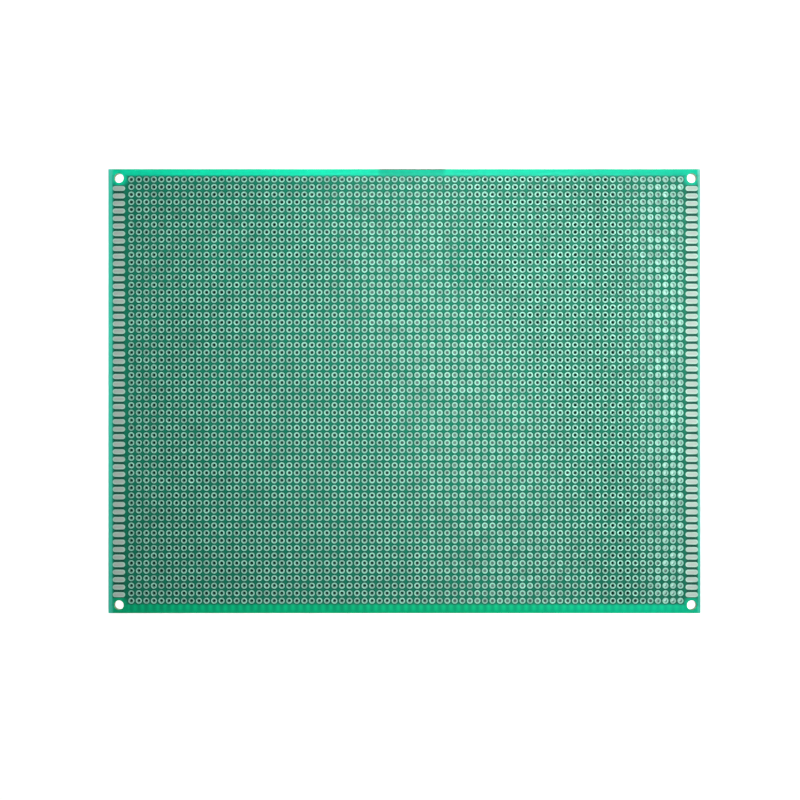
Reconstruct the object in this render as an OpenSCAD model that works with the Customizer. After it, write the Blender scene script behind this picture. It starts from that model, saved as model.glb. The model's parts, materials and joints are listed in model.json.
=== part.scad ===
// Double-sided prototype board: a bare rectangular laminate with a full grid of tinned,
// plated through holes, a column of edge contacts along each short side on both faces,
// and four plain mounting holes. The board lies flat: +X is its length, +Z its front face,
// and the origin is the middle of its underside. Millimetres.

/* [Board] */
// Length of the laminate
board_l = 200; // [199:0.5:230]
// Width of the laminate
board_w = 150; // [149:0.5:170]
// Thickness of the laminate with its solder mask
board_t = 1.6; // [0.8:0.2:3.2]

/* [Mounting holes] */
// Diameter of the four plain holes
mount_d = 3.2; // [2.4:0.1:3.4]
// Distance between their centres along the length
mount_span_x = 193.4; // [192:0.1:194]
// Distance between their centres across the width
mount_span_y = 144.2; // [143.8:0.1:144.4]
// Shift of the mounting holes and contacts along the length, from the routed outline
pattern_dx = 0.3; // [-0.5:0.05:0.5]
// Shift of the mounting holes and contacts across the width, from the routed outline
pattern_dy = -0.15; // [-0.5:0.05:0.5]

/* [Plated holes] */
// Plated holes in a row
columns = 74; // [10:1:74]
// Bands of rows, from the edge with the lowest Y to the one with the highest
bands = 19; // [2:1:19]
// Rows of plated holes in a band
band_rows = 3; // [1:1:3]
// Distance between neighbouring holes, both ways
pitch = 2.54; // [2.5:0.01:2.54]
// Clear diameter of a plated hole
bore_d = 1.15; // [0.7:0.05:1.2]
// Diameter of the tinned ring round a hole
pad_d = 2.1; // [1.5:0.05:2.1]
// Height of the tin above the solder mask
tin_rise = 0.04; // [0.02:0.01:0.1]
// Shift of the grid along the length, from the middle of the board
grid_dx = 0.5; // [-0.5:0.05:0.5]
// Shift of the grid across the width, from the middle of the board
grid_dy = 0.35; // [-0.4:0.05:0.4]

/* [Edge contacts] */
// Contacts in a column
contacts = 55; // [5:1:55]
// Length of a contact, along the board
contact_l = 4.2; // [3:0.1:4.5]
// Width of a contact
contact_w = 1.7; // [1.2:0.1:2.2]

/* [Hidden] */
// Width and depth of the hairline scores that part both faces between two bands of rows
score = 0.01;
round_fn = 48;

rows = bands * band_rows;
front_z = tin_rise + board_t;
tin_t = board_t + 2 * tin_rise;
column_x0 = grid_dx - pitch * (columns - 1) / 2;
row_y0 = grid_dy - pitch * (rows - 1) / 2;
mask_green = [0.12, 0.46, 0.35];
tin = [0.74, 0.82, 0.77];

function two_digits(n) = str(n < 10 ? "0" : "", n);
function plated_name(band) = str("plated_rows_", two_digits(band + 1));
function score_y(band) = row_y0 + pitch * (band * band_rows - 0.5);

// Puts its children at each plated hole of a band.
module at_holes(band) {
    for (row = [band * band_rows : (band + 1) * band_rows - 1], column = [0 : columns - 1])
        translate([column_x0 + pitch * column, row_y0 + pitch * row]) children();
}

module at_mounting_holes() {
    for (x = [-1, 1], y = [-1, 1])
        translate([pattern_dx + x * mount_span_x / 2, pattern_dy + y * mount_span_y / 2]) children();
}

// The outline as one strip per band, a hairline apart.
module bands_outline() {
    for (band = [0 : bands - 1]) {
        low = band == 0 ? -board_w / 2 : score_y(band) + score / 2;
        high = band == bands - 1 ? board_w / 2 : score_y(band + 1) - score / 2;
        translate([-board_l / 2, low]) square([board_l, high - low]);
    }
}

// What closes the hairlines inside the board, so that they are only as deep as they are wide.
module score_floors() {
    for (band = [1 : bands - 1])
        translate([-board_l / 2, score_y(band) - score / 2, score])
            cube([board_l, score, board_t - 2 * score]);
}

// The laminate with its solder mask: one sheet, drilled for every plated hole.
module panel() {
    color(mask_green) translate([0, 0, tin_rise]) {
        linear_extrude(board_t) difference() {
            bands_outline();
            for (band = [0 : bands - 1]) at_holes(band) circle(d = pad_d, $fn = round_fn);
            at_mounting_holes() circle(d = mount_d, $fn = round_fn);
        }
        score_floors();
    }
}

// One plated hole: its two rings and the barrel that joins them.
module plated_hole() {
    linear_extrude(tin_t) difference() {
        circle(d = pad_d, $fn = round_fn);
        circle(d = bore_d, $fn = round_fn);
    }
}

module plated_rows(band) {
    color(tin) at_holes(band) plated_hole();
}

// One edge contact: a flat bar of tinned copper with round ends.
module contact() {
    straight = contact_l - contact_w;
    linear_extrude(tin_rise) {
        square([straight, contact_w], center = true);
        for (x = [-1, 1]) translate([x * straight / 2, 0]) circle(d = contact_w, $fn = round_fn);
    }
}

// A column of contacts; side is -1 at the left and 1 at the right, z is its lower face.
module contact_column(side, z) {
    color(tin)
        for (i = [0 : contacts - 1])
            translate([
                pattern_dx + side * mount_span_x / 2,
                pattern_dy + pitch * (i - (contacts - 1) / 2),
                z
            ]) contact();
}

panel();
for (band = [0 : bands - 1])
    plated_rows(band);
contact_column(-1, front_z);  // front_left_contacts
contact_column(1, front_z);  // front_right_contacts
contact_column(-1, 0);  // back_left_contacts
contact_column(1, 0);  // back_right_contacts
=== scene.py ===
import json
import math

import bmesh
import bpy
from mathutils import Matrix, Vector

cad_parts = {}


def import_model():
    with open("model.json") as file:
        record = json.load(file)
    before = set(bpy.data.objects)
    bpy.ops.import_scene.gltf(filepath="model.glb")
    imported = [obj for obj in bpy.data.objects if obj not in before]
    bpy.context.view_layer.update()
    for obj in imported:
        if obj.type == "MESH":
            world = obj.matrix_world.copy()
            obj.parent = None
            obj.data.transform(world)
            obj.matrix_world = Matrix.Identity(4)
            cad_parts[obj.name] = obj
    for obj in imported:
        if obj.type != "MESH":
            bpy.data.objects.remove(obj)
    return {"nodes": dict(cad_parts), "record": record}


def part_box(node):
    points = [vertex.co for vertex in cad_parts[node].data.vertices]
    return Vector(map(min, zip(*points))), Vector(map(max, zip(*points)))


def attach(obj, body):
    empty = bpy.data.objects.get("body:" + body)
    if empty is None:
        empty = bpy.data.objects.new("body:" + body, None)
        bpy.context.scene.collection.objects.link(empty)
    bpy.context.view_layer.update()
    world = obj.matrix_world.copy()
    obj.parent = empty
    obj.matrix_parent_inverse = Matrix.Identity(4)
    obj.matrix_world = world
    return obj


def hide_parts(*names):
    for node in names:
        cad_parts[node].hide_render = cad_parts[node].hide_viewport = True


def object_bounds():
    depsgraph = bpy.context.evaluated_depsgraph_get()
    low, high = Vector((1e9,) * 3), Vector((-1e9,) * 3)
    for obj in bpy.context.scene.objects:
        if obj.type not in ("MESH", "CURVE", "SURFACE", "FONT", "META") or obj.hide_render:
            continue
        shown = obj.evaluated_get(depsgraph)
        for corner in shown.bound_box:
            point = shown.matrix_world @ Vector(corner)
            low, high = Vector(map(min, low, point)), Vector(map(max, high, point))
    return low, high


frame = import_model()
CAD_LOW, CAD_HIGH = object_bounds()

MM = 0.001

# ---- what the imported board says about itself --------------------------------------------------

BANDS = sorted(n for n in frame["nodes"] if n.startswith("plated_rows_"))
CONTACT_NODES = ["front_left_contacts", "front_right_contacts",
                 "back_left_contacts", "back_right_contacts"]
COLUMNS = 74
BAND_ROWS = 3
CONTACTS_PER_SIDE = 55
BORE_R = 0.575 * MM

PANEL_LOW, PANEL_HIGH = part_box("panel")
PANEL_MID = (PANEL_LOW + PANEL_HIGH) / 2
FRONT_Z, BACK_Z = PANEL_HIGH.z, PANEL_LOW.z
TIN_TOP, TIN_BOTTOM = CAD_HIGH.z, CAD_LOW.z

# The field is all the rings together.
BAND_BOX = {n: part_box(n) for n in BANDS}
ROWS = BAND_ROWS * len(BANDS)
FIELD_LOW, FIELD_HIGH = BAND_BOX[BANDS[0]][0], BAND_BOX[BANDS[-1]][1]
FIELD_MID = (FIELD_LOW + FIELD_HIGH) / 2
FIELD_HALF = (FIELD_HIGH - FIELD_LOW) / 2

# A band is one ring wide and one ring high past its first and last hole, so its two sides give both
# the spacing of the holes and the size of a ring.
BAND_SIZE = BAND_BOX[BANDS[0]][1] - BAND_BOX[BANDS[0]][0]
PITCH = (BAND_SIZE.x - BAND_SIZE.y) / (COLUMNS - BAND_ROWS)
PAD_R = (BAND_SIZE.y - (BAND_ROWS - 1) * PITCH) / 2
FIRST_X, FIRST_Y = FIELD_LOW.x + PAD_R, FIELD_LOW.y + PAD_R

# A column of contacts gives the width of one, and how far its middle goes straight to each side.
CONTACT_BOX = {n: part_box(n) for n in CONTACT_NODES}
LEFT_LOW, LEFT_HIGH = CONTACT_BOX["front_left_contacts"]
CONTACT_W = LEFT_HIGH.y - LEFT_LOW.y - (CONTACTS_PER_SIDE - 1) * PITCH
CONTACT_STRAIGHT = (LEFT_HIGH.x - LEFT_LOW.x - CONTACT_W) / 2
COLUMNS_MID_X = (LEFT_LOW.x + CONTACT_BOX["front_right_contacts"][1].x) / 2
COLUMN_OUT = COLUMNS_MID_X - (LEFT_LOW.x + LEFT_HIGH.x) / 2

MOUNT = next(m for m in frame["record"]["mounts"] if m["name"] == "mounting_holes")
MOUNT_MID = Vector(MOUNT["pos_m"])
MOUNT_R = MOUNT["dims"]["hole_r_mm"] * MM
MOUNT_HALF_X = MOUNT["dims"]["spacing_x_mm"] * MM / 2
MOUNT_HALF_Y = MOUNT["dims"]["spacing_y_mm"] * MM / 2

# ---- sizes of the finer forms -----------------------------------------------------------------

OPENING = 0.66 * MM          # half the side of the laminate's opening round a barrel
BROKEN_EDGE = 0.08 * MM      # how far the outline's edges are broken
MASKED_RISE = 0.6            # the sheet's faces that look up or down by more than this have mask
CREST_R = 0.83 * MM          # where the tin of a ring stands highest
MOUTH_DROP = 0.05 * MM       # how far the hole's mouth lies below that
RIM_DROP = 0.03 * MM         # how far the ring's outer edge lies below it
CONTACT_STEP = 0.13 * MM     # how far a contact's raised middle lies in from its edge
CONTACT_EDGE_SHARE = 0.55    # how much of its height a contact's edge has
RING_SIDES = 12
MOUNT_SIDES = 48
CONTACT_SIDES = 20

# ---- colours, as linear values ----------------------------------------------------------------

MASK_GREEN = (0.008, 0.262, 0.144)
# The margins: partly the mask's own paler green over bare laminate, partly painted light through the
# laminate, stronger along some stretches than others.
MARGIN_NEAR = (0.0005, 0.65, 0.29)
MARGIN_NEAR_RIGHT = (0.0005, 0.86, 0.46)
MARGIN_FAR = (0.004, 0.97, 0.55)
MARGIN_FAR_RIGHT = (0.004, 0.76, 0.46)
MARGIN_SIDE = (0.10, 0.97, 0.70)
MARGIN_SIDE_PALE = (0.30, 0.92, 0.76)
# Beside a ring: partly bare dark laminate, partly painted shade in the crease at the ring.
DIP_SHADE_GREEN = (0.002, 0.135, 0.078)
# Between the contacts: partly the mask's own darker green, partly painted shade.
WEB_SHADE_GREEN = (0.015, 0.13, 0.085)
SCRAPED = (0.03, 0.11, 0.07)
LAMINATE_RESIN = (0.50, 0.64, 0.38)
LAMINATE_GLASS = (0.72, 0.84, 0.60)
TIN_FRESH = (0.34, 0.765, 0.61)
TIN_DULL = (0.283, 0.635, 0.505)
# Down in a hole: dull tin, darkened further with painted shade.
BARREL_DULL_AND_SHADE = (0.02, 0.15, 0.10)
CONTACT_FRESH = (0.52, 0.86, 0.72)
CONTACT_DULL = (0.44, 0.74, 0.61)
CONTACT_FLAT = (0.50, 0.60, 0.54)
FLOOR_PALE = (0.86, 0.86, 0.86)
# Painted shadow: the floor under the field of holes, painted dark.
FLOOR_PAINTED_SHADOW = (0.008, 0.065, 0.042)
FLOOR_LIFT = (0.8, 0.8, 0.8)     # what the open floor shows beyond the light that falls on it
# Painted light that glows on the floor under the holes.
CREEP_GREEN = (0.62, 1.0, 0.86)
CREEP_PALE = (0.72, 1.0, 0.94)

# ---- where a finish changes: how far past an edge each span starts and ends --------------------

DIP_SPAN = (0, 0.45 * MM)                 # past a ring
FIELD_SPAN = (0.1 * MM, 0.35 * MM)        # past the outermost rings
WEB_SPAN = (0.1 * MM, 0.95 * MM)          # past the straight part of a contact
LAST_WEB_SPAN = (0.05 * MM, 0.35 * MM)    # past the last contact
LONG_MARGIN_SPAN = (-0.4 * MM, 0.8 * MM)  # past the outermost rows
SIDE_MARGIN_SPAN = (-0.5 * MM, 0.5 * MM)  # past the outer ends of the contacts
MOUNT_MARGIN_SPAN = (0.3 * MM, 2.2 * MM)  # past a mounting hole
STREAK_START = (-0.3 * MM, 0.4 * MM)      # past the outermost rows
STREAK_END = (1.2 * MM, 3.4 * MM)         # past the outermost rows
SCRAPE_END = (0, 2 * MM)                  # past each end of the scraped stretch
SCRAPE_SPAN = (-0.42 * MM, -0.2 * MM)     # past the far edge
SCRAPE_SHADE_SPAN = (0, 0.6 * MM)         # past the outermost row
BARREL_SPAN = (0.02 * MM, 0.55 * MM)      # down into a hole
# Where the hole walls get painted light: the first columns short of the far rows, and the last columns.
FIRST_COLUMNS = (5 * MM, 17 * MM)         # in from the field's left side
LAST_COLUMNS = (4 * MM, 15 * MM)          # in from the field's right side
FAR_ROWS = (-24 * MM, -8 * MM)            # past the outermost far row
UNCOVERED_SPAN = (0.3 * MM, 0.8 * MM)     # past the outermost rings, on the floor
CREEP_SPAN = (6 * MM, 38 * MM)            # to each side of the middle creep, on the floor
CREEP_RIGHT_SPAN = (-18 * MM, 1 * MM)     # past the outermost column, on the floor

# Spans across the whole field, for margins, streaks and the light under the board.
NEAR_TO_FAR = (FIELD_LOW.y - 2 * MM, FIELD_HIGH.y + 2 * MM)
NEAR_TO_FAR_ROW = (FIELD_LOW.y, FIELD_HIGH.y)
NEAR_RIGHT = (FIELD_MID.x + 20 * MM, FIELD_HIGH.x)
FAR_RIGHT = (FIELD_LOW.x + 20 * MM, FIELD_MID.x + 20 * MM)
LEFT_TO_RIGHT = (FIELD_LOW.x, FIELD_HIGH.x)
SIDE_PALING = (FIELD_LOW.y + 8 * MM, FIELD_LOW.y + 45 * MM)

# ---- how strong the finer effects are ----------------------------------------------------------

WEAVE = 0.62 * MM            # from one strand of the glass cloth to the next but one
LAYER = 0.19 * MM            # from one layer of the laminate to the next
SCRAPE_AT = 2.5 * MM         # right of the board's middle
SCRAPE_LENGTH = 20 * MM
SCRAPE_SHADE = 0.26          # how much darker the margin is beside the scrape
MOUNT_PALING = 0.8           # how pale the mask is round a mounting hole
CLOUDING = 0.42              # how much the mask's tone drifts
STREAK_NEAR = 0.155          # how much darker the near margin is in line with a column
STREAK_FAR = 0.015           # the same in the far margin
STREAK_LOST_RIGHT = 0.6      # how much of that is lost towards the right
CREEP_MIDDLE, CREEP_RIGHT = 0.13, 0.62
CREEP_AT = 37 * MM           # where the middle creep is at the near side, right of the field's middle
CREEP_LEAN = 40 * MM         # how far left it leans towards the far side
CREEP_WIDENS = 7 * MM        # how much wider the right creep is at the far side


# ---- modelling helpers ------------------------------------------------------------------------

def start_clean():
    """Leaves edit mode and deselects everything, so that an operator acts on the new piece alone."""
    if bpy.context.object is not None and bpy.context.object.mode != "OBJECT":
        bpy.ops.object.mode_set(mode="OBJECT")
    bpy.ops.object.select_all(action="DESELECT")


def take(piece):
    """Selects that piece alone."""
    start_clean()
    piece.select_set(True)
    bpy.context.view_layer.objects.active = piece


def named(name):
    """The piece that was just added, under its own name."""
    piece = bpy.context.object
    piece.name = piece.data.name = name
    return piece


def settle(piece):
    """Puts the piece's place, turn and size into its mesh."""
    take(piece)
    bpy.ops.object.transform_apply(location=True, rotation=True, scale=True)


def edit(piece, kind):
    """Opens the piece in edit mode, to select by VERT, EDGE or FACE."""
    take(piece)
    bpy.ops.object.mode_set(mode="EDIT")
    bpy.ops.mesh.select_mode(type=kind)


def pick(kind, wanted, add=False):
    """In edit mode, selects the verts or edges whose every vertex passes wanted."""
    if not add:
        bpy.ops.mesh.select_all(action="DESELECT")
    mesh = bpy.context.object.data
    shape = bmesh.from_edit_mesh(mesh)
    for part in getattr(shape, kind):
        corners = [part] if kind == "verts" else part.verts
        if all(wanted(v.co) for v in corners):
            part.select_set(True)
    shape.select_flush_mode()
    bmesh.update_edit_mesh(mesh)


def near(a, b, slack=0.004 * MM):
    return abs(a - b) < slack


def extrude(by):
    """Extrudes the selection by a move."""
    bpy.ops.mesh.extrude_region_move(TRANSFORM_OT_translate={"value": by})


def spread(factor, centre):
    """Scales the selection across the board, about an upright axis through centre."""
    bpy.ops.transform.resize(value=(factor, factor, 1), center_override=centre)


def close_edit():
    """Turns all faces outward and leaves edit mode."""
    bpy.ops.mesh.select_all(action="SELECT")
    bpy.ops.mesh.normals_make_consistent(inside=False)
    bpy.ops.object.mode_set(mode="OBJECT")


def apply(piece, kind, **settings):
    """Adds one modifier to the piece and applies it."""
    take(piece)
    modifier = piece.modifiers.new(kind.lower(), kind)
    for key, value in settings.items():
        setattr(modifier, key, value)
    bpy.ops.object.modifier_apply(modifier=modifier.name)


def repeat(piece, count, step):
    """Makes a row of the piece, each so far from the last."""
    apply(piece, "ARRAY", count=count, use_relative_offset=False, use_constant_offset=True,
          constant_offset_displace=step)


def soften(piece, degrees):
    """Shades the piece smooth over every edge that is flatter than so many degrees."""
    take(piece)
    bpy.ops.object.shade_smooth_by_angle(angle=math.radians(degrees))


def twin(piece, name, move):
    """A copy with its own mesh, moved in the mesh."""
    other = piece.copy()
    other.data = piece.data.copy()
    other.name = other.data.name = name
    other.data.transform(Matrix.Translation(move))
    bpy.context.scene.collection.objects.link(other)
    return other


def coat(piece, *finishes):
    """Gives a piece its finishes in place of any that it has."""
    piece.data.materials.clear()
    for finish in finishes:
        piece.data.materials.append(finish)


# ---- finishes: shader maths as expressions ----------------------------------------------------

class Signal:
    """A socket of a finish. An expression on signals adds its Math nodes."""

    def __init__(self, finish, socket):
        self.finish, self.socket = finish, socket

    def math(self, operation, *others):
        return self.finish.math(operation, self, *others)

    def __add__(self, other):
        return self.math("ADD", other)

    def __radd__(self, other):
        return self.finish.math("ADD", other, self)

    def __sub__(self, other):
        return self.math("SUBTRACT", other)

    def __rsub__(self, other):
        return self.finish.math("SUBTRACT", other, self)

    def __mul__(self, other):
        return self.math("MULTIPLY", other)

    def __rmul__(self, other):
        return self.finish.math("MULTIPLY", other, self)

    def __truediv__(self, other):
        return self.math("DIVIDE", other)

    def __abs__(self):
        return self.math("ABSOLUTE")

    def __lt__(self, other):
        return self.math("LESS_THAN", other)

    def larger(self, other):
        return self.math("MAXIMUM", other)

    def wave(self, length):
        return (self * (2 * math.pi / length)).math("SINE")

    def off_nearest(self, first, spacing):
        """How far a place is from the nearest of a row of places."""
        steps = (self - first) / spacing
        return (steps - steps.math("ROUND")) * spacing


def distance(across, along):
    return (across * across + along * along).math("SQRT")


class Finish:
    """A material, with one method for nodes and a few words on top of it."""

    def __init__(self, name):
        self.material = bpy.data.materials.new(name)
        self.material.use_nodes = True
        self.tree = self.material.node_tree
        self.tree.nodes.clear()
        self.place = self.add("ShaderNodeTexCoord", out="Object")

    def add(self, kind, settings=None, sockets=None, out=0):
        """A node of that kind: its settings first, then the values or links of its sockets."""
        node = self.tree.nodes.new(kind)
        for key, value in (settings or {}).items():
            setattr(node, key, value)
        for key, value in (sockets or {}).items():
            if isinstance(value, Signal):
                self.tree.links.new(value.socket, node.inputs[key])
            else:
                node.inputs[key].default_value = value
        return Signal(self, node.outputs[out]) if len(node.outputs) else None

    def math(self, operation, *values):
        return self.add("ShaderNodeMath", {"operation": operation}, dict(enumerate(values)))

    def axes(self):
        split = self.add("ShaderNodeSeparateXYZ", None, {"Vector": self.place})
        outputs = split.socket.node.outputs
        return [Signal(self, outputs[axis]) for axis in "XYZ"]

    def step(self, value, edge, span):
        """Rises smoothly from 0 to 1 as the value goes through the span past the edge."""
        return self.add("ShaderNodeMapRange", {"interpolation_type": "SMOOTHSTEP"},
                        {"Value": value, "From Min": edge + span[0], "From Max": edge + span[1]})

    def noise(self, size, detail, stretch=(1, 1, 1)):
        """Cloudy noise whose patches are about size across."""
        at = self.add("ShaderNodeMapping", None, {"Vector": self.place, "Scale": stretch})
        return self.add("ShaderNodeTexNoise", None,
                        {"Vector": at, "Scale": 1 / size, "Detail": detail})

    def chance(self, x, y):
        """From 0 to 1: the same all over one hole's cell, and different from hole to hole."""
        cell = self.add("ShaderNodeCombineXYZ", None,
                        {"X": ((x - FIRST_X) / PITCH).math("ROUND"),
                         "Y": ((y - FIRST_Y) / PITCH).math("ROUND")})
        return self.add("ShaderNodeTexWhiteNoise", {"noise_dimensions": "2D"}, {"Vector": cell})

    def mix(self, share, first, second):
        """A colour between two colours; 0 is the first."""
        colours = [c if isinstance(c, Signal) else (*c, 1) for c in (first, second)]
        return self.add("ShaderNodeMix", {"data_type": "RGBA"},
                        {0: share, 6: colours[0], 7: colours[1]}, out=2)

    def shade(self, colour, factor):
        """The colour made lighter or darker by a factor."""
        return self.add("ShaderNodeVectorMath", {"operation": "SCALE"},
                        {0: colour, "Scale": factor})

    def bump(self, height, depth):
        return self.add("ShaderNodeBump", None,
                        {"Height": height, "Strength": 1.0, "Distance": depth})

    def surface(self, **sockets):
        shader = self.add("ShaderNodeBsdfPrincipled", None,
                          {key.replace("_", " "): value for key, value in sockets.items()})
        self.add("ShaderNodeOutputMaterial", None, {"Surface": shader})
        return self.material


# ---- finishes of the sheet --------------------------------------------------------------------

def past_field(x, y):
    """How far a spot lies outside the field across and along; below 0 inside it."""
    return abs(x - FIELD_MID.x) - FIELD_HALF.x, abs(y - FIELD_MID.y) - FIELD_HALF.y


def off_column(x):
    """How far a spot lies to the side of the middle of the nearer column of contacts."""
    return abs(abs(x - COLUMNS_MID_X) - COLUMN_OUT)


def dip_and_shade_round_rings(f, x, y):
    """1 right beside a ring, where the mask slopes down to it and is darkened, partly as bare laminate and
    partly with painted shade; 0 away from the rings.
    """
    reach = distance(x.off_nearest(FIRST_X, PITCH), y.off_nearest(FIRST_Y, PITCH))
    past_x, past_y = past_field(x, y)
    ringed = 1 - f.step(past_x.larger(past_y), 0, FIELD_SPAN)
    return (1 - f.step(reach, PAD_R, DIP_SPAN)) * ringed


def webs_between_contacts(f, x, y):
    """1 in the narrow webs of mask between the contacts of both columns, which are darkened partly in
    their own colour and partly with painted shade.
    """
    past_last = abs(y - (LEFT_LOW.y + LEFT_HIGH.y) / 2) - (LEFT_HIGH.y - LEFT_LOW.y) / 2
    beside = f.step(off_column(x), CONTACT_STRAIGHT, WEB_SPAN)
    return (1 - beside) * (1 - f.step(past_last, 0, LAST_WEB_SPAN))


def margins_with_painted_light(f, x, y):
    """Where the mask has no tin near it: its paler green there with painted light, and painted shade
    streaks by the rings.
    """
    past_x, past_y = past_field(x, y)
    far = f.step(y, 0, NEAR_TO_FAR)
    right = f.step(x, 0, NEAR_RIGHT)
    outside = abs(x - COLUMNS_MID_X) - COLUMN_OUT - CONTACT_STRAIGHT - CONTACT_W / 2
    side = f.step(outside, 0, SIDE_MARGIN_SPAN)
    from_mount = distance(abs(x - MOUNT_MID.x) - MOUNT_HALF_X, abs(y - MOUNT_MID.y) - MOUNT_HALF_Y)
    round_mount = MOUNT_PALING - MOUNT_PALING * f.step(from_mount, MOUNT_R, MOUNT_MARGIN_SPAN)
    margin = f.step(past_y, 0, LONG_MARGIN_SPAN).larger(side).larger(round_mount)

    # Painted light: how strongly each margin glows changes along it, from near to far and from left to
    # right.
    near_green = f.mix(right, MARGIN_NEAR, MARGIN_NEAR_RIGHT)
    far_green = f.mix(f.step(x, 0, FAR_RIGHT), MARGIN_FAR, MARGIN_FAR_RIGHT)
    pale = f.step(x, 0, LEFT_TO_RIGHT) * f.step(y, 0, SIDE_PALING)
    side_green = f.mix(pale, MARGIN_SIDE, MARGIN_SIDE_PALE)
    green = f.mix(side, f.mix(far, near_green, far_green), side_green)

    # Each ring shades the margin behind it a little, which leaves paler streaks between the columns.
    streak = (x - FIRST_X + PITCH / 4).wave(PITCH) * (past_x < 0) \
        * f.step(past_y, 0, STREAK_START) * (1 - f.step(past_y, 0, STREAK_END))
    strength = STREAK_NEAR - (STREAK_NEAR - STREAK_FAR) * far
    return margin, green, streak * strength * (1 - STREAK_LOST_RIGHT * right)


def scraped_edge(f, x, y):
    """A stretch of the far edge, torn dark as where a board is parted from its neighbour."""
    along = 1 - f.step(abs(x - PANEL_MID.x - SCRAPE_AT), SCRAPE_LENGTH / 2, SCRAPE_END)
    torn = f.noise(size=0.9 * MM, detail=3.0)
    scrape = along * f.step(y, PANEL_HIGH.y, SCRAPE_SPAN) * f.step(torn, 0, (0.1, 0.45))
    shade = along * SCRAPE_SHADE * f.step(y, FIELD_HIGH.y, SCRAPE_SHADE_SPAN)
    return scrape, scrape * torn, shade


def green_mask():
    """Glossy green mask over glass cloth: clouded, grainy, and faintly waved by the cloth."""
    f = Finish("green_mask")
    x, y, _ = f.axes()
    cloud = f.noise(size=26 * MM, detail=3.0) - 0.5
    grain = f.noise(size=0.35 * MM, detail=2.0) - 0.5
    weave = x.wave(WEAVE) * y.wave(WEAVE)
    dip_and_shade = dip_and_shade_round_rings(f, x, y)
    margin, margin_painted_green, streaks = margins_with_painted_light(f, x, y)
    scrape, scrape_depth, scrape_shade = scraped_edge(f, x, y)

    # The margins: paler mask with painted light through the laminate.
    base = f.mix(margin, MASK_GREEN, margin_painted_green)
    # Beside each ring the mask is darker, partly as bare laminate and partly as painted shade.
    base = f.mix(dip_and_shade, base, DIP_SHADE_GREEN)
    # The webs between contacts are darker, partly in their own colour and partly as painted shade.
    base = f.mix(webs_between_contacts(f, x, y), base, WEB_SHADE_GREEN)
    base = f.mix(scrape * 0.9, base, SCRAPED)
    # Besides its random drift, the tone loses the painted shade streaks in the margins.
    tone = 1 + cloud * CLOUDING + grain * 0.14 + weave * 0.04 - streaks - scrape_shade
    height = weave * 0.35 + grain * 0.5 - dip_and_shade * 1.5 - scrape_depth
    return f.surface(Base_Color=f.shade(base, tone),
                     Roughness=0.4 + cloud * 0.12 + grain * 0.1 + scrape * 0.4,
                     Specular_IOR_Level=0.15, Normal=f.bump(height, 0.012 * MM))


def cut_laminate():
    """The routed edge and the drilled walls: pale glass epoxy in thin layers, with fine tool marks."""
    f = Finish("cut_laminate")
    layers = f.axes()[2].wave(LAYER)
    fibres = f.noise(size=0.12 * MM, detail=3.0, stretch=(1, 1, 0.25)) - 0.5
    stain = f.noise(size=7 * MM, detail=2.0) - 0.5
    base = f.mix(f.step(layers, 0, (-0.5, 0.8)), LAMINATE_RESIN, LAMINATE_GLASS)
    return f.surface(Base_Color=f.shade(base, 1 + fibres * 0.4 + stain * 0.25),
                     Roughness=0.62 + fibres * 0.3,
                     Normal=f.bump(layers * 0.4 + fibres, 0.02 * MM))


# ---- finishes of the tin ----------------------------------------------------------------------

def down_barrel(f, base, x, y, z):
    """Tin down in a hole, dull and with painted shade, its tone its own, with painted light on the walls
    of the first and last few columns.
    """
    own = f.chance(x, y)
    depth = (FRONT_Z - BACK_Z) / 2 - abs(z - (FRONT_Z + BACK_Z) / 2)
    first = (1 - f.step(x, FIELD_LOW.x, FIRST_COLUMNS)) * (1 - f.step(y, FIELD_HIGH.y, FAR_ROWS))
    last = 1 - f.step(FIELD_HIGH.x - x, 0, LAST_COLUMNS)
    # Painted light on the hole walls of the first and last few columns.
    painted_wall_light = (first * (0.65 + own * 0.5)).larger(last * (0.3 + own * 0.4))
    # The wall: the dull barrel colour with its painted shade, lifted towards fresh tin by the painted
    # light.
    wall = f.mix(painted_wall_light, f.shade(BARREL_DULL_AND_SHADE, 0.55 + own * 0.9), TIN_FRESH)
    return f.shade(f.mix(f.step(depth, 0, BARREL_SPAN), base, wall), 0.93 + own * 0.12)


def flat_middle(f, base, x, y, speckle):
    """The dull, flat middle of a contact, worked out from the line along its straight part."""
    beside = y.off_nearest(LEFT_LOW.y + CONTACT_W / 2, PITCH)
    beyond = (off_column(x) - CONTACT_STRAIGHT).larger(0)
    flat = 1 - f.step(distance(beyond, beside), 0, (CONTACT_W * 0.2, CONTACT_W * 0.44))
    return f.mix(flat, base, f.shade(CONTACT_FLAT, speckle))


def levelled_tin(name, fresh, dull, ripple, in_holes):
    """Hot-levelled tin: bright, greyer in patches, with a soft ripple."""
    f = Finish(name)
    x, y, z = f.axes()
    patch = f.noise(size=3.1 * MM, detail=1.0)
    smear = f.noise(size=0.28 * MM, detail=3.0) - 0.5
    pits = f.noise(size=0.07 * MM, detail=2.0) - 0.5
    base = f.shade(f.mix(f.step(patch, 0, (0.38, 0.66)), fresh, dull), 1 + smear * 0.14)
    if in_holes:
        base = down_barrel(f, base, x, y, z)
    else:
        base = flat_middle(f, base, x, y, 1 + smear * 0.25 + pits * 0.2)
    return f.surface(Base_Color=base, Metallic=0.6,
                     Roughness=0.42 + smear * 0.15 + patch * 0.08,
                     Normal=f.bump(smear + pits * 0.4, ripple))


# ---- the board sheet --------------------------------------------------------------------------

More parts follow.
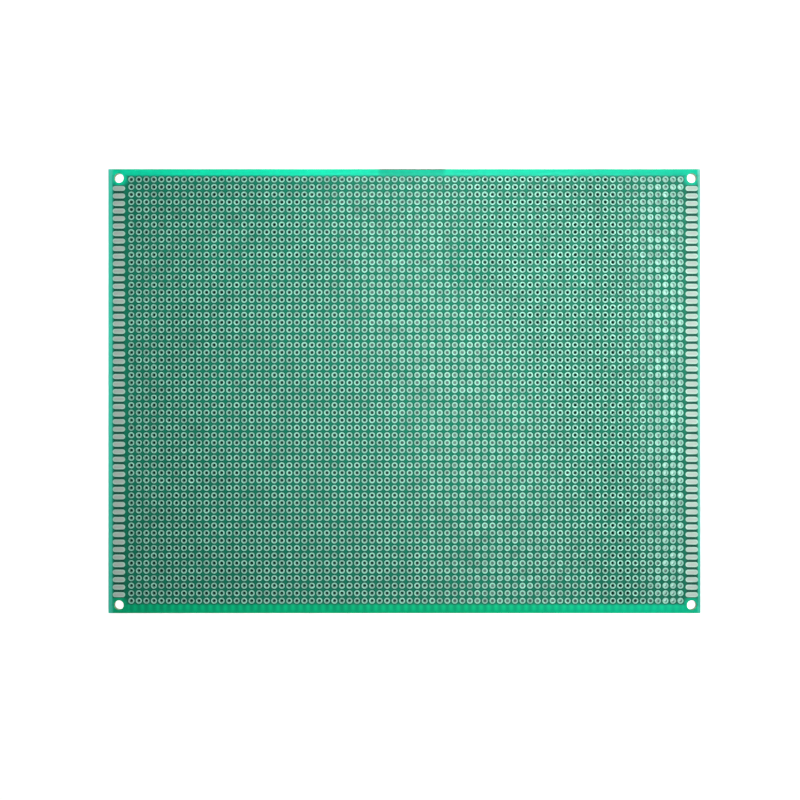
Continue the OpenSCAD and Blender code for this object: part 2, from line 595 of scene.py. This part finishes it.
def routed_sheet():
    """The laminate: a drilled grid, extruded out to the routed outline and down to the other face."""
    start_clean()
    bpy.ops.mesh.primitive_grid_add(x_subdivisions=COLUMNS, y_subdivisions=ROWS, size=1,
                                    location=(FIELD_MID.x, FIELD_MID.y, BACK_Z))
    sheet = named("board_sheet")
    sheet.scale = (COLUMNS * PITCH, ROWS * PITCH, 1)
    settle(sheet)

    # A square opening in each cell, wide enough for the barrel and hidden under the ring.
    edit(sheet, "FACE")
    bpy.ops.mesh.select_all(action="SELECT")
    bpy.ops.mesh.inset(thickness=(PITCH - 2 * OPENING) / 2, use_individual=True)
    bpy.ops.mesh.delete(type="FACE")

    # The margins: each outer edge of the grid goes out to the outline.
    bpy.ops.mesh.select_mode(type="EDGE")
    for axis, low, high in ((0, PANEL_LOW.x, PANEL_HIGH.x), (1, PANEL_LOW.y, PANEL_HIGH.y)):
        half = (COLUMNS, ROWS)[axis] * PITCH / 2
        for edge, goal in ((FIELD_MID[axis] - half, low), (FIELD_MID[axis] + half, high)):
            pick("edges", lambda co: near(co[axis], edge))
            move = [0, 0, 0]
            move[axis] = goal - edge
            extrude(move)

    bpy.ops.mesh.select_mode(type="FACE")
    bpy.ops.mesh.select_all(action="SELECT")
    extrude((0, 0, FRONT_Z - BACK_Z))
    close_edit()
    return sheet


def drill_mounting_holes(sheet):
    for side_x in (-1, 1):
        for side_y in (-1, 1):
            start_clean()
            bpy.ops.mesh.primitive_cylinder_add(
                vertices=MOUNT_SIDES, radius=MOUNT_R, depth=4 * (FRONT_Z - BACK_Z),
                location=(MOUNT_MID.x + side_x * MOUNT_HALF_X,
                          MOUNT_MID.y + side_y * MOUNT_HALF_Y, FRONT_Z))
            drill = named("drill")
            settle(drill)
            apply(sheet, "BOOLEAN", operation="DIFFERENCE", solver="EXACT", object=drill)
            bpy.data.objects.remove(drill)


def break_outline(sheet):
    """Breaks the outline's edges a little on both faces, as routing and handling do."""
    def on_outline(co):
        return (near(co.x, PANEL_LOW.x) or near(co.x, PANEL_HIGH.x)
                or near(co.y, PANEL_LOW.y) or near(co.y, PANEL_HIGH.y))

    edit(sheet, "EDGE")
    pick("edges", lambda co: on_outline(co) and near(co.z, BACK_Z))
    pick("edges", lambda co: on_outline(co) and near(co.z, FRONT_Z), add=True)
    bpy.ops.mesh.bevel(offset=BROKEN_EDGE, offset_type="OFFSET", segments=2)
    close_edit()


def board_sheet():
    """The sheet with its mask on the faces and bare laminate on every cut wall."""
    sheet = routed_sheet()
    drill_mounting_holes(sheet)
    break_outline(sheet)
    soften(sheet, degrees=30)
    coat(sheet, green_mask(), cut_laminate())
    for face in sheet.data.polygons:
        face.material_index = 0 if abs(face.normal.z) > MASKED_RISE else 1
    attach(sheet, "root")
    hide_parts("panel")


# ---- plated holes -----------------------------------------------------------------------------

def plated_hole(name, x, y):
    """One hole's tin: the barrel, and at each end a mouth, a crest and a rim, closed by the outer wall."""
    start_clean()
    bpy.ops.mesh.primitive_cylinder_add(
        vertices=RING_SIDES, radius=BORE_R, depth=TIN_TOP - TIN_BOTTOM - 2 * MOUTH_DROP,
        end_fill_type="NOTHING", location=(x, y, (TIN_TOP + TIN_BOTTOM) / 2))
    hole = named(name)
    settle(hole)
    edit(hole, "EDGE")
    for face, end in ((1, TIN_TOP), (-1, TIN_BOTTOM)):
        centre = (x, y, end)
        pick("edges", lambda co: near(co.z, end - face * MOUTH_DROP))
        extrude((0, 0, face * MOUTH_DROP))
        spread(CREST_R / BORE_R, centre)
        extrude((0, 0, -face * RIM_DROP))
        spread(PAD_R / CREST_R, centre)
    pick("edges", lambda co: near(math.hypot(co.x - x, co.y - y), PAD_R, slack=0.02 * MM)
         and (near(co.z, TIN_TOP - RIM_DROP) or near(co.z, TIN_BOTTOM + RIM_DROP)))
    bpy.ops.mesh.bridge_edge_loops()
    close_edit()
    soften(hole, degrees=50)
    return hole


def plated_holes():
    """The first hole, copied along three rows to make a band, and the band copied for the rest."""
    tin = levelled_tin("tinned_holes", TIN_FRESH, TIN_DULL, 0.002 * MM, in_holes=True)
    first = plated_hole(BANDS[0] + "_tin", FIRST_X, FIRST_Y)
    repeat(first, COLUMNS, (PITCH, 0, 0))
    repeat(first, BAND_ROWS, (0, PITCH, 0))
    coat(first, tin)
    for node in BANDS:
        band = first
        if node != BANDS[0]:
            band = twin(first, node + "_tin", BAND_BOX[node][0] - FIELD_LOW)
        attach(band, "root")
        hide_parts(node)


# ---- edge contacts ----------------------------------------------------------------------------

def edge_contact(name, x, y, seat, crown):
    """One contact: a flat bar with round ends and a raised middle."""
    start_clean()
    bpy.ops.mesh.primitive_circle_add(vertices=CONTACT_SIDES, radius=CONTACT_W / 2,
                                      fill_type="NGON", location=(x, y, seat),
                                      rotation=(0, 0, math.pi / CONTACT_SIDES))
    bar = named(name)
    settle(bar)
    edit(bar, "VERT")
    for side in (-1, 1):
        pick("verts", lambda co: (co.x - x) * side > 0)
        bpy.ops.transform.translate(value=(side * CONTACT_STRAIGHT, 0, 0))
    bpy.ops.mesh.select_mode(type="FACE")
    bpy.ops.mesh.select_all(action="SELECT")
    extrude((0, 0, (crown - seat) * CONTACT_EDGE_SHARE))
    bpy.ops.mesh.inset(thickness=CONTACT_STEP)
    bpy.ops.transform.translate(value=(0, 0, (crown - seat) * (1 - CONTACT_EDGE_SHARE)))
    close_edit()
    soften(bar, degrees=50)
    return bar


def edge_contacts():
    """The four columns of contacts, on the front and the back of both short sides."""
    tin = levelled_tin("tinned_contacts", CONTACT_FRESH, CONTACT_DULL, 0.003 * MM, in_holes=False)
    for node in CONTACT_NODES:
        low, high = CONTACT_BOX[node]
        seat, crown = (low.z, high.z) if node.startswith("front") else (high.z, low.z)
        bar = edge_contact(node + "_tin", (low.x + high.x) / 2, low.y + CONTACT_W / 2, seat, crown)
        repeat(bar, CONTACTS_PER_SIDE, (0, PITCH, 0))
        coat(bar, tin)
        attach(bar, "root")
        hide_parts(node)


# ---- floor, light and camera ------------------------------------------------------------------

def painted_light_under_board(f, x, y):
    """Painted light glowing on the floor as if creeping in from the right and below the middle, below some
    holes more than others.
    """
    far = f.step(y, 0, NEAR_TO_FAR_ROW)
    middle = 1 - f.step(abs(x - FIELD_MID.x - CREEP_AT + far * CREEP_LEAN), 0, CREEP_SPAN)
    right = f.step(x - FIELD_HIGH.x + far * CREEP_WIDENS, 0, CREEP_RIGHT_SPAN)
    creep = (middle * CREEP_MIDDLE + right * CREEP_RIGHT) * (1.15 - far * 0.15) \
        * (0.55 + f.chance(x, y) * 0.9)
    return f.shade(f.mix(right, CREEP_GREEN, CREEP_PALE), creep)


def floor():
    """A plain pale floor that shows white in the open and keeps the board's shadow; under the field of
    holes it is painted dark as a painted shadow.
    """
    start_clean()
    bpy.ops.mesh.primitive_plane_add(size=FLOOR_SIDE, location=(0, 0, TIN_BOTTOM - FLOOR_GAP))
    plane = named("floor")
    settle(plane)
    f = Finish("pale_floor")
    x, y, _ = f.axes()
    past_x, past_y = past_field(x, y)
    uncovered = f.step(past_x.larger(past_y), 0, UNCOVERED_SPAN)
    rays = f.add("ShaderNodeLightPath").socket.node.outputs
    seen = Signal(f, rays["Is Camera Ray"]) + Signal(f, rays["Is Glossy Ray"]) \
        + Signal(f, rays["Is Transmission Ray"])
    grain = f.noise(size=3 * MM, detail=2.0)
    # Under the field the floor glows with painted light; in the open it is lifted to white.
    glow = f.mix(uncovered, painted_light_under_board(f, x, y), FLOOR_LIFT)
    # Under the field of holes the floor takes its painted shadow colour.
    base = f.shade(f.mix(uncovered, FLOOR_PAINTED_SHADOW, FLOOR_PALE), 0.97 + grain * 0.06)
    coat(plane, f.surface(Base_Color=base, Roughness=0.8,
                          Emission_Color=f.shade(glow, seen), Emission_Strength=1.0))


def world():
    """White where it is looked at; on the object a plain, soft grey from all round."""
    sky = bpy.data.worlds.new("studio")
    bpy.context.scene.world = sky
    sky.use_nodes = True
    tree = sky.node_tree
    tree.nodes.clear()
    rays = tree.nodes.new("ShaderNodeLightPath")
    light = None
    for ray, strength in ((None, SKY), ("Is Glossy Ray", SKY_IN_METAL), ("Is Camera Ray", 1.0)):
        part = tree.nodes.new("ShaderNodeBackground")
        part.inputs["Color"].default_value = (1, 1, 1, 1)
        part.inputs["Strength"].default_value = strength
        if light is None:
            light = part
            continue
        choose = tree.nodes.new("ShaderNodeMixShader")
        tree.links.new(rays.outputs[ray], choose.inputs[0])
        tree.links.new(light.outputs[0], choose.inputs[1])
        tree.links.new(part.outputs[0], choose.inputs[2])
        light = choose
    end = tree.nodes.new("ShaderNodeOutputWorld")
    tree.links.new(light.outputs[0], end.inputs[0])


def soft_lamp(name, place, aim, side, power, spread, in_metal):
    """A square lamp that looks from its place to its aim; in_metal lets glossy surfaces show it."""
    lamp = bpy.data.lights.new(name, "AREA")
    lamp.shape, lamp.size, lamp.energy = "SQUARE", side, power
    lamp.spread = math.radians(spread)
    stand = bpy.data.objects.new(name, lamp)
    stand.location = place
    stand.visible_glossy = in_metal
    stand.rotation_euler = (Vector(aim) - Vector(place)).to_track_quat("-Z", "Y").to_euler()
    bpy.context.scene.collection.objects.link(stand)


def camera():
    """Straight above the board, a little left of and below its middle."""
    lens = bpy.data.cameras.new("camera")
    lens.sensor_width, lens.lens = SENSOR, LENS
    eye = bpy.data.objects.new("camera", lens)
    eye.location = (PANEL_MID.x + AIM_X, PANEL_MID.y + AIM_Y, FRONT_Z + VIEW_WIDTH * LENS / SENSOR)
    lens.clip_start, lens.clip_end = 0.01, 20
    bpy.context.scene.collection.objects.link(eye)
    bpy.context.scene.camera = eye


FLOOR_SIDE = 6.0
FLOOR_GAP = 0.02 * MM        # how far the floor lies below the tin
SKY = 0.09
SKY_IN_METAL = 0.56
SENSOR, LENS = 36, 50
VIEW_WIDTH = 270.1 * MM      # how wide a stretch of the board's plane is in view
AIM_X, AIM_Y = -1.50 * MM, -3.0 * MM    # from the board's middle

board_sheet()
plated_holes()
edge_contacts()
floor()
world()
soft_lamp("overhead_beam", place=(0.09, 0.14, 0.62), aim=(0.022, 0.042, 0.0),
          side=0.20, power=0.123, spread=27, in_metal=False)
soft_lamp("overhead_softbox", place=(0.24, -0.02, 0.62), aim=(0.04, 0.02, 0.0),
          side=0.60, power=1.25, spread=180, in_metal=True)
camera()
bpy.context.scene.view_settings.view_transform = "Standard"
